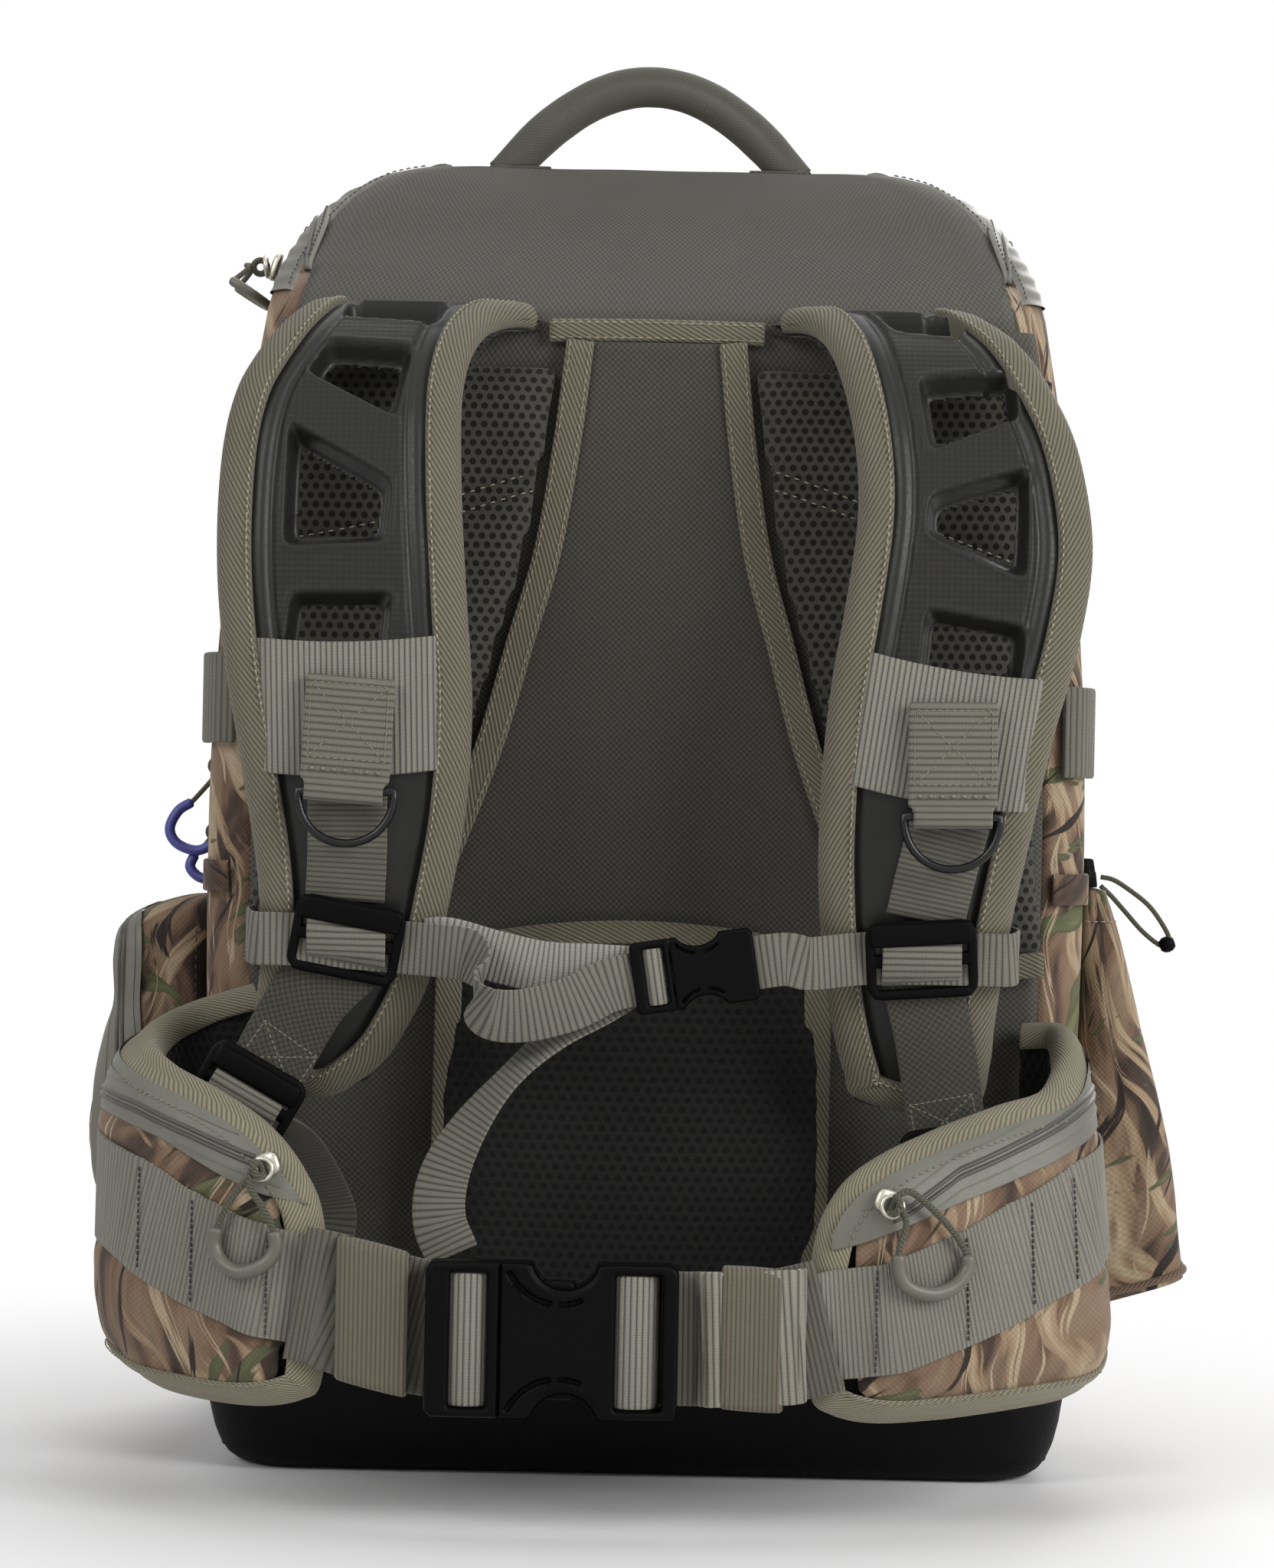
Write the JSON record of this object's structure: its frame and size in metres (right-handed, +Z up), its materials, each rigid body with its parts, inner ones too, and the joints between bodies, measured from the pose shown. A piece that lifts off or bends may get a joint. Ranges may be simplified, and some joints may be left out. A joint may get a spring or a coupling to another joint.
{
  "type": "tackle backpack",
  "caption": "Upright fishing tackle backpack: moulded base, hinged lid, rear tray door, vented shoulder straps, sternum strap, padded hip belt with buckle and side pockets.",
  "frame": {"origin": "on the ground under the middle of the bag's back panel, in the back panel's plane", "axes": "+Z up, +X to the right as one faces the shoulder straps, -Y out of the back panel towards the wearer"},
  "size_m": [0.4465, 0.3925, 0.5762],
  "materials": {
    "olive_fabric": "woven nylon, matt",
    "camo_fabric": "printed woven nylon, matt",
    "eva": "moulded foam, matt",
    "strap_foam": "moulded foam with a fine crosshatch, satin",
    "mesh": "spacer mesh, matt",
    "wing_foam": "padded fabric with a twill binding, matt",
    "webbing": "woven webbing, matt",
    "buckle_plastic": "moulded acetal, satin",
    "black_metal": "black coated wire",
    "zip_metal": "die-cast slider",
    "cord": "braided cord",
    "blue_rubber": "moulded grip on a cord",
    "olive_rubber": "moulded ring on a cord",
    "board": "sheet board, hidden inside"
  },
  "bodies": {
    "pack": {"base_pan": "eva", "bag_shell": "camo_fabric", "divider": "board", "frame_sheet": "board", "yoke_tape": "olive_fabric", "spine_panel": "olive_fabric", "back_pad_left": "mesh", "back_pad_right": "mesh", "lumbar_pad": "mesh", "shoulder_strap_left": "strap_foam", "shoulder_strap_right": "strap_foam", "strap_band_left": "webbing", "strap_band_right": "webbing", "dring_tab_left": "webbing", "dring_tab_right": "webbing", "strap_webbing_left": "webbing", "strap_webbing_right": "webbing", "sternum_slider_left": "buckle_plastic", "sternum_slider_right": "buckle_plastic", "ladder_lock_left": "buckle_plastic", "ladder_lock_right": "buckle_plastic", "lower_webbing_left": "webbing", "lower_webbing_right": "webbing", "sternum_strap_left": "webbing", "sternum_strap_right": "webbing", "sternum_buckle_female": "buckle_plastic", "hip_wing_right": "wing_foam", "hip_pocket_right": "camo_fabric", "waist_webbing_right": "webbing", "webbing_keeper_right": "webbing", "waist_buckle_female": "buckle_plastic", "side_pocket_left": "camo_fabric", "side_pocket_right": "camo_fabric", "cord_lock": "buckle_plastic", "drawcord": "cord", "handle_anchor_left": "olive_fabric", "handle_anchor_right": "olive_fabric"},
    "handle": {"top_handle": "olive_fabric"},
    "lid": {"lid": "camo_fabric"},
    "tray_door": {"tray_door": "camo_fabric", "door_pocket": "camo_fabric"},
    "belt_left": {"hip_wing_left": "wing_foam", "hip_pocket_left": "camo_fabric", "waist_webbing_left": "webbing", "webbing_keeper_left": "webbing", "waist_buckle_male": "buckle_plastic"},
    "sternum_left": {"sternum_buckle_male": "buckle_plastic", "sternum_tail": "webbing"},
    "dring_left": {"d_ring_left": "black_metal"},
    "dring_right": {"d_ring_right": "black_metal"},
    "top_slider": {"top_zip_slider": "zip_metal"},
    "top_pull": {"top_zip_pull": "cord"},
    "side_slider_upper": {"side_zip_slider_upper": "zip_metal"},
    "side_pull_upper": {"side_zip_pull_upper": "blue_rubber"},
    "side_slider_lower": {"side_zip_slider_lower": "zip_metal"},
    "side_pull_lower": {"side_zip_pull_lower": "blue_rubber"},
    "hip_slider_left": {"hip_zip_slider_left": "zip_metal"},
    "hip_pull_left": {"hip_zip_pull_left": "olive_rubber"},
    "hip_slider_right": {"hip_zip_slider_right": "zip_metal"},
    "hip_pull_right": {"hip_zip_pull_right": "olive_rubber"}
  },
  "joints": [
    {"name": "handle_fold", "type": "hinge", "parent": "pack", "child": "handle", "pos_m": [-0.004, 0.098, 0.53837], "axis": [1, 0, 0], "range_deg": [-60, 60]},
    {"name": "lid_open", "type": "hinge", "parent": "pack", "child": "lid", "pos_m": [0, 0.2265, 0.478], "axis": [-1, 0, 0], "range_deg": [0, 110]},
    {"name": "door_open", "type": "hinge", "parent": "pack", "child": "tray_door", "pos_m": [0, 0.2265, 0.075], "axis": [-1, 0, 0], "range_deg": [0, 90]},
    {"name": "belt_unclip", "type": "slide", "parent": "pack", "child": "belt_left", "axis": [-1, 0, 0], "range_m": [0, 0.032]},
    {"name": "sternum_unclip", "type": "slide", "parent": "pack", "child": "sternum_left", "axis": [-0.9877, 0, -0.1564], "range_m": [0, 0.02], "deforming": ["sternum_strap_left"]},
    {"name": "dring_left_swing", "type": "hinge", "parent": "pack", "child": "dring_left", "pos_m": [-0.113, -0.0823, 0.2705], "axis": [-1, 0, 0], "range_deg": [0, 95]},
    {"name": "dring_right_swing", "type": "hinge", "parent": "pack", "child": "dring_right", "pos_m": [0.114, -0.0822, 0.2655], "axis": [-1, 0, 0], "range_deg": [0, 95]},
    {"name": "top_zip_slide", "type": "slide", "parent": "lid", "child": "top_slider", "axis": [0, 1, 0], "range_m": [0, 0.1]},
    {"name": "top_pull_swing", "type": "hinge", "parent": "top_slider", "child": "top_pull", "pos_m": [-0.1624, 0.06, 0.484], "axis": [0, 1, 0], "range_deg": [0, 60]},
    {"name": "side_zip_slide_upper", "type": "slide", "parent": "pack", "child": "side_slider_upper", "axis": [0, 0, 1], "range_m": [0, 0.08]},
    {"name": "side_pull_swing_upper", "type": "hinge", "parent": "side_slider_upper", "child": "side_pull_upper", "pos_m": [-0.1836, 0.108, 0.28], "axis": [0, 1, 0], "range_deg": [0, 60]},
    {"name": "side_zip_slide_lower", "type": "slide", "parent": "pack", "child": "side_slider_lower", "axis": [0, 0, -1], "range_m": [0, 0.015]},
    {"name": "side_pull_swing_lower", "type": "hinge", "parent": "side_slider_lower", "child": "side_pull_lower", "pos_m": [-0.1839, 0.108, 0.252], "axis": [0, 1, 0], "range_deg": [0, 60]},
    {"name": "hip_zip_slide_left", "type": "slide", "parent": "belt_left", "child": "hip_slider_left", "axis": [0.8988, -0.4384, 0], "range_m": [-0.01, 0.01]},
    {"name": "hip_pull_swing_left", "type": "hinge", "parent": "hip_slider_left", "child": "hip_pull_left", "pos_m": [-0.1468, -0.1245, 0.1288], "axis": [-0.8988, 0.4384, 0], "range_deg": [0, 80]},
    {"name": "hip_zip_slide_right", "type": "slide", "parent": "pack", "child": "hip_slider_right", "axis": [0.9224, 0.3861, 0], "range_m": [-0.01, 0.01]},
    {"name": "hip_pull_swing_right", "type": "hinge", "parent": "hip_slider_right", "child": "hip_pull_right", "pos_m": [0.0953, -0.1258, 0.1219], "axis": [-0.9224, -0.3861, 0], "range_deg": [0, 80]}
  ]
}
